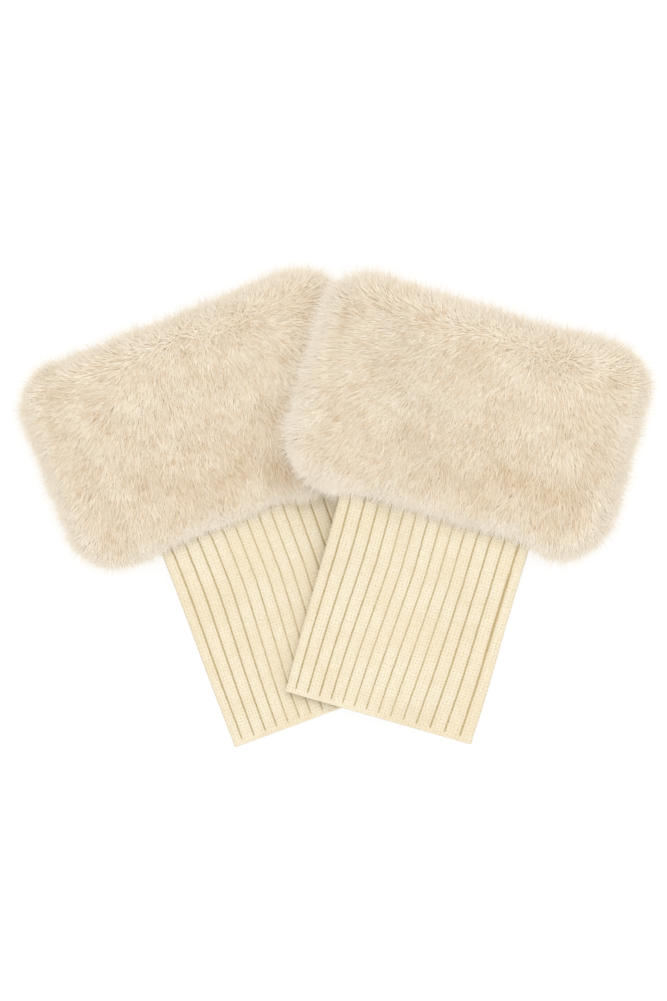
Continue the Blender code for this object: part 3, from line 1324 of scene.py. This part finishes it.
    def shaped(self, bed: Bed, length: Array) -> Array:
        """Lengths that give the band its outline.

        Args:
            bed: where the strands are rooted.
            length: their lengths on a band of even outline.

        Returns:
            The lengths, more at the top edge and its corners and less at the lower edge, more towards the
            middle of each side, and more round the notches between the two bands.
        """
        corners = 1 + np.abs(bed.away[:, 0])
        length = length * (1 + self.top_longer * bed.away[:, 1] * corners * bed.rim)
        belly = 1 - (bed.plan[:, 1] / PELT.half_height) ** 2
        length = length + self.side_bulge * np.abs(bed.away[:, 0]) * belly * bed.rim
        row = self.cuff.to_row(bed.plan)
        from_notch = np.min([np.linalg.norm(row - notch, axis=1) for notch in NOTCHES], axis=0)
        filled = smooth_fall(from_notch - self.notch_size, self.notch_reach)
        return length + self.notch_longer * filled * smooth_fall(bed.inside, 8 * MM)

    def grown(self, zone: Zone, count: int) -> Strands:
        """A growth of strands on one zone of the band.

        On the top they rise steeply, lie over along the flow and stand up at the parting. Round the rim
        they fan out from 40 degrees up to 40 degrees down, and curl unless they point up. Underneath they
        are short and lie pressed. Each reaches about as far as the pile's outline, and a few reach past.

        Args:
            zone: where the strands are rooted.
            count: how many strands.

        Returns:
            The strands.
        """
        rng = self.rng
        habit = HABITS[zone]
        bed, heading = self.bed(zone, count)
        clump_steps, clump_marks = clumps(bed.plan, self.clump, self.seed + 6)
        tuft_steps, tuft_marks = clumps(bed.plan, self.tuft, self.seed + 7)
        wander = ripple(bed.plan, self.wander, self.seed + 8)
        lock_marks = clumps(bed.plan, self.lock, self.seed + 9)[1]

        aside = rng.normal(0, self.aside, count)
        aside = aside + self.clump_aside * (clump_marks - 0.5) + self.tuft_aside * (tuft_marks - 0.5)
        aside = aside + rng.normal(0, self.parting_aside, count) * bed.upright
        if zone is Zone.RIM:
            aside = aside + rng.normal(0, self.rim_aside, count)

        spread = rng.normal(0, self.spread, count) * (1 + bed.rim) + self.spread * wander
        room = -BAND.past(bed.plan) - self.cuff.trim
        tail = np.minimum(rng.exponential(self.fringe_fade, count), self.fringe_longest)
        width = self.strand_width * rng.uniform(*self.widths, count)
        curl = np.zeros(count)
        if zone is Zone.TOP:
            # Full length, or less where that would show past the fringe
            shorter = self.parting_shorter * bed.upright + self.rim_shorter * bed.rim
            longest = self.strand * (1 - shorter + self.crowded_longer * bed.crowded)
            shown = room - self.fringe * rng.uniform(0, 1, count) + 0.5 * tail - 0.5 * MM
            length = np.minimum(longest, np.maximum(shown, longest * bed.crowded))
            width = width * (1 - (1 - self.edge_width) * smooth_fall(bed.inside, self.rim_reach / 2))
            twist = rng.normal(0, self.top_twist, count)
        elif zone is Zone.RIM:
            # As long as the room to the outline and the tail past it, more ragged between up and down
            spread = spread + rng.normal(0, self.rim_spread, count)
            curl = rng.normal(0, self.rim_curl, count) * np.minimum(1.4 * (1 - bed.fan), 1)
            ragged = self.fringe * (1 - np.abs(bed.fan)) * rng.uniform(0.3, 1, count)
            length = room - ragged + tail + self.draped_longer * bed.draped - 1.5 * MM
            width = width * self.rim_width
            twist = rng.uniform(-self.rim_twist, self.rim_twist, count) * (1 - 0.5 * np.abs(bed.fan))
        else:
            length = np.full(count, self.under_strand)
            twist = rng.normal(0, self.under_twist, count)
        uneven = 1 + self.wander_longer * wander + self.tuft_longer * (tuft_marks - 0.5) * (1 - bed.rim)
        length = self.shaped(bed, length * uneven * rng.uniform(*self.lengths, count))

        dark = self.dark_strand * (rng.random(count) < self.dark_strands)
        dark = dark + self.dark_lock * (lock_marks < self.dark_locks)
        own_tone = rng.normal(0, self.strand_tone, count) + self.lock_tone * (lock_marks - 0.5)
        side = np.sin(bed.fan * np.pi / 2)
        pull = clump_steps * rng.uniform(0, 0.2, count)[:, None]
        return Strands(
            roots=np.column_stack((bed.plan, BAND_MIDDLE + 0.97 * side * self.pelt.half(bed.plan))),
            heading=turned(heading, np.degrees(aside)),
            rise=habit.rise.angles(bed, spread),
            droop=habit.droop.angles(bed, spread) + np.radians(curl),
            length=length,
            width=width,
            twist=np.radians(twist),
            tone=np.clip(self.tones(bed.plan) + own_tone - dark, 0.01, 0.99),
            pull=pull + tuft_steps * (0.04 + 0.06 * bed.rim)[:, None],
        )

    def kept_clear(self, points: Array) -> Array:
        """Strand points moved off the surface and off the knit's two faces.

        Args:
            points: points of the cuff's frame, with heights above what it lies on.

        Returns:
            The points. Over the knit those of the band's front are above it, and the others below it.
        """
        on_floor, on_knit_face, mouth = 0.15 * MM, 0.25 * MM, 6 * MM
        on_knit = self.cuff.to_knit(points[:, :2])
        level = on_knit[:, 1]
        over = (np.abs(on_knit[:, 0]) < knit_half_width(level)) & (level > 0)
        over &= level < self.cuff.visible + mouth
        front = points[:, 2] >= BAND_MIDDLE - 0.5 * MM
        middle = self.cuff.knit_middle(level)
        face = KNIT_HALF_THICK + on_knit_face
        height = np.maximum(points[:, 2], on_floor)
        height = np.where(over & front, np.maximum(height, middle + face), height)
        below = np.minimum(height, np.maximum(middle - face, on_floor))
        return np.column_stack((points[:, :2], np.where(over & ~front, below, height)))

    def pressed(self, points: Array) -> Array:
        """Points of the pair's frame kept below the cuff that lies on this one.

        Args:
            points: points of the pair's frame.

        Returns:
            The points, no higher than the underside of the cuff above where that cuff covers them.
        """
        above = next((cuff for cuff in CUFFS if cuff.below is self.cuff), None)
        if above is None:
            return points
        own = above.to_own(points[:, :2])
        covered = BAND.past(own) < -self.covered_inside
        ceiling = above.lift(own) - SEAM_GAP
        height = np.where(covered, np.minimum(points[:, 2], ceiling), points[:, 2])
        return np.column_stack((points[:, :2], height))

    def make(self, name: str, strands: Strands, material: bpy.types.Material) -> bpy.types.Object:
        """Meshes a growth: each strand is a bent kite of two triangles, widest at its middle.

        A strand's elevation changes evenly from rise at its root to droop at its tip, so its first half
        runs at a quarter of the change and its second half at three quarters. Its tip and, less, its
        middle are pulled in plan towards its clump. Its shading direction is mostly that of the band's
        surface, which keeps the pile soft.

        Args:
            name: the piece's name.
            strands: the strands.
            material: the pile's finish.

        Returns:
            The pile as one object.
        """
        change = strands.droop - strands.rise
        half = strands.length / 2
        nodes = [strands.roots]
        ways = []
        for share, pull in ((0.25, 0.3), (0.75, 0.7)):
            lift = strands.rise + change * share
            way = np.column_stack((strands.heading * np.cos(lift)[:, None], np.sin(lift)))
            ways.append(way)
            shift = np.column_stack((strands.pull * pull, np.zeros(len(lift))))
            nodes.append(nodes[-1] + way * half[:, None] + shift)
        level_side = np.column_stack((-strands.heading[:, 1], strands.heading[:, 0], np.zeros(len(half))))
        sides = [
            level_side * np.cos(strands.twist)[:, None]
            + np.cross(way, level_side) * np.sin(strands.twist)[:, None]
            for way in ways
        ]
        skin = self.skin_normals(strands)
        outs = [(np.cross(way, side) * skin).sum(axis=1) for way, side in zip(ways, sides, strict=True)]
        turn_over = np.where(sum(outs) < 0, -1.0, 1.0)[:, None]
        root, middle, tip = nodes
        half_width = (sides[0] + sides[1]) * (strands.width / 4)[:, None] * turn_over
        corners = np.stack((root, middle - half_width, middle + half_width, tip))
        flat = corners.transpose(1, 0, 2).reshape(-1, 3)
        plan = self.cuff.sagged(flat[:, :2])
        clear = self.kept_clear(np.column_stack((plan, flat[:, 2])))
        points = self.pressed(self.cuff.placed(clear))
        first = np.arange(len(half)) * 4
        lower = np.stack((first, first + 1, first + 2), axis=-1)
        upper = np.stack((first + 2, first + 1, first + 3), axis=-1)

        # In the piece's map a strand's tone is across and its share from root to tip is up. The two middle
        # corners stand a little apart, so that no triangle is a line there.
        shares = np.array((0.02, 0.5, 0.5, 0.98))
        apart = np.array((0, -1, 1, 0)) * 0.004
        tones = np.clip(strands.tone[:, None] + apart, 0.001, 0.999)
        bake_map = np.stack((tones, np.broadcast_to(shares, tones.shape)), axis=-1).reshape(-1, 2)
        normals = self.soft_normals(skin, ways)
        return made_piece(name, points, [lower, upper], bake_map, material, normals)

    def skin_normals(self, strands: Strands) -> Array:
        """The band's own normal at each root.

        It is up on the band's face and down below, and leans outwards at the rim, but not at the overlap.
        There the lower band's strands that lead towards the upper band are heaped against it, and theirs
        leans away from it.

        Args:
            strands: the strands.

        Returns:
            Unit vectors of the cuff's frame.
        """
        plan = strands.roots[:, :2]
        away = PELT.away(plan)
        side = np.where(strands.roots[:, 2] < BAND_MIDDLE, -1.0, 1.0)
        beside = self.beside_other(plan)[:, None]
        crowded = beside * (self.cuff.below is None)
        most = self.lean + self.lean_top * np.maximum(away[:, 1:], 0)
        lean = smooth_fall(-PELT.past(plan), self.lean_reach)[:, None] * most * (1 - beside)
        heaped = turned(BAND.away(RIGHT.to_own(self.cuff.to_row(plan))), RIGHT.turn - self.cuff.turn)
        towards = np.maximum(-(heaped * strands.heading).sum(axis=1, keepdims=True), 0)
        skin = np.column_stack((away * lean + heaped * crowded * self.heap_lean * towards, side))
        return skin / np.linalg.norm(skin, axis=1, keepdims=True)

    def soft_normals(self, skin: Array, ways: Sequence[Array]) -> Array:
        """Shading directions for the four points of each strand.

        Args:
            skin: the band's own normals at the roots.
            ways: the directions of the strands' two halves.

        Returns:
            Unit vectors of the pair's frame: four parts the band's own normal to one part that normal
            squared to the strand.
        """
        normals = []
        for way in (ways[0], ways[0], ways[0], ways[1]):
            square = skin - way * (skin * way).sum(axis=1, keepdims=True)
            square = square / np.maximum(np.linalg.norm(square, axis=1, keepdims=True), TINY)
            both = skin * 0.8 + square * 0.2
            normals.append(both / np.linalg.norm(both, axis=1, keepdims=True))
        rows = np.stack(normals, axis=1).reshape(-1, 3)
        return np.column_stack((turned(rows[:, :2], self.cuff.turn), rows[:, 2]))


@dataclass
class FurBand:
    """The fur band of one cuff: its pelt, the pile on its face, and the pile round its rim and below."""

    cuff: Cuff
    seed: int
    face_strands: int = 93000
    rim_strands: int = 52000
    under_strands: int = 10000

    def make(self, fur: bpy.types.Material, underfur: bpy.types.Material) -> list[bpy.types.Object]:
        """Args:
            fur: the strands' material.
            underfur: the pelt's material.

        Returns:
            The band's three pieces.
        """
        name = self.cuff.name
        pelt = Pelt(self.cuff)
        skin = pelt.make(underfur)
        pile = Pile(self.cuff, pelt, self.seed)
        face = pile.make(f"{name}_fur_pile", pile.grown(Zone.TOP, self.face_strands), fur)
        around = [pile.grown(Zone.RIM, self.rim_strands), pile.grown(Zone.UNDER, self.under_strands)]
        rim = pile.make(f"{name}_fur_rim", Strands.joined(around), fur)
        for piece in (skin, face, rim):
            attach(piece, "root")
        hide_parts(f"{name}_fur_band")
        on = self.cuff.rests_on("fur_pelt")
        return [skin, face, rim]


# ----------------------------------------------------------------------------------------------- studio


@dataclass
class Studio:
    """The pale floor, the soft light and the camera straight above."""

    floor_size: float = 6.0
    floor_drop: float = 0.3 * MM
    floor_shade: float = 0.12
    floor_glow: float = 0.87
    sky: float = 1.15
    key_power: float = 10.0
    key_size: float = 1.4
    key_place: tuple[float, float, float] = (0.1, 0.7, 1.9)
    camera_height: float = 5.0
    camera_over: tuple[float, float] = (-0.5 * MM, 3.5 * MM)
    view_height: float = 0.6006
    sensor: float = 36.0
    looked_at: float = 15 * MM

    def make_floor(self) -> None:
        """A wide plain floor just under the pair."""
        unit = np.array(((0.0, 0.0), (1.0, 0.0), (1.0, 1.0), (0.0, 1.0)))
        points = np.column_stack(((unit - 0.5) * self.floor_size, np.full(4, -self.floor_drop)))
        bench = Bench("floor_paper")
        place = bench.node("ShaderNodeTexCoord", output="Object")
        grain = bench.noise(place, 400.0)
        dark, light = ((*[self.floor_shade * part] * 3, 1.0) for part in (0.9, 1.1))
        colour = bench.mixed(grain, dark, light)
        material = bench.dress(
            {
                "Base Color": colour,
                "Roughness": 0.9,
                "Specular IOR Level": 0.1,
                "Emission Color": (1.0, 1.0, 1.0, 1.0),
                "Emission Strength": self.floor_glow,
            }
        )
        made_piece("floor", points, [np.arange(4)[None]], unit, material)

    def make_light(self) -> None:
        """An even pale surround, and a large soft light over the pair's far edge."""
        world = bpy.data.worlds.new("surround")
        bpy.context.scene.world = world
        world.use_nodes = True
        backing = world.node_tree.nodes["Background"]
        backing.inputs["Color"].default_value = (1.0, 1.0, 1.0, 1.0)
        backing.inputs["Strength"].default_value = self.sky
        lamp = bpy.data.lights.new("key_light", "AREA")
        lamp.shape = "DISK"
        lamp.size = self.key_size
        lamp.energy = self.key_power
        key = bpy.data.objects.new("key_light", lamp)
        key.location = self.key_place
        key.rotation_euler = Vector(self.key_place).to_track_quat("Z", "Y").to_euler()
        bpy.context.scene.collection.objects.link(key)

    def make_camera(self) -> None:
        """A long lens straight above, which takes in view_height from the top of the view to its foot."""
        lens = bpy.data.cameras.new("camera")
        lens.sensor_width = self.sensor
        lens.lens = self.sensor * (self.camera_height - self.looked_at) / self.view_height
        camera = bpy.data.objects.new("camera", lens)
        camera.location = (*self.camera_over, self.camera_height)
        bpy.context.scene.collection.objects.link(camera)
        bpy.context.scene.camera = camera

    def make(self) -> None:
        """Builds the whole studio."""
        self.make_camera()
        self.make_floor()
        self.make_light()
        bpy.context.scene.view_settings.view_transform = "Standard"


# ------------------------------------------------------------------------------------------------- pair


def left_centre() -> tuple[float, float]:
    """The left band's middle in plan, which the record gives as the middle of its underside."""
    mounts = frame["record"]["mounts"]
    place = next(mount["pos_m"] for mount in mounts if mount["name"] == "underside")
    return place[0], place[1]


RIGHT_FROM_LEFT = (159.0 * MM, 3.1 * MM)
LEFT = Cuff(
    name="left",
    centre=left_centre(),
    turn=22.0,
    knit_offset=5.8 * MM,
    knit_turn=-1.7,
    visible=124 * MM,
    sag_at=-66 * MM,
    sag=1.5 * MM,
    trim=1.6 * MM,
    tan_at=8 * MM,
)
RIGHT = Cuff(
    name="right",
    centre=(LEFT.centre[0] + RIGHT_FROM_LEFT[0], LEFT.centre[1] + RIGHT_FROM_LEFT[1]),
    turn=-16.0,
    knit_offset=-1.4 * MM,
    knit_turn=0.0,
    visible=122.5 * MM,
    sag_at=76 * MM,
    sag=5 * MM,
    trim=0.2 * MM,
    tan_at=38 * MM,
    below=LEFT,
)
CUFFS = (LEFT, RIGHT)


def main() -> None:
    """Builds the studio and both cuffs."""
    logging.basicConfig(level=logging.INFO, format="%(name)s %(message)s")
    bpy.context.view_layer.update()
    Studio().make()
    fur = PileFinish().make()
    underfur = PeltFinish().make()
    for number, cuff in enumerate(CUFFS, start=1):
        for piece in (KnitTube(cuff).make(), *FurBand(cuff, seed=100 * number).make(fur, underfur)):
            LOG.info("%s: %d faces", piece.name, len(piece.data.polygons))


if __name__ == "__main__":
    main()
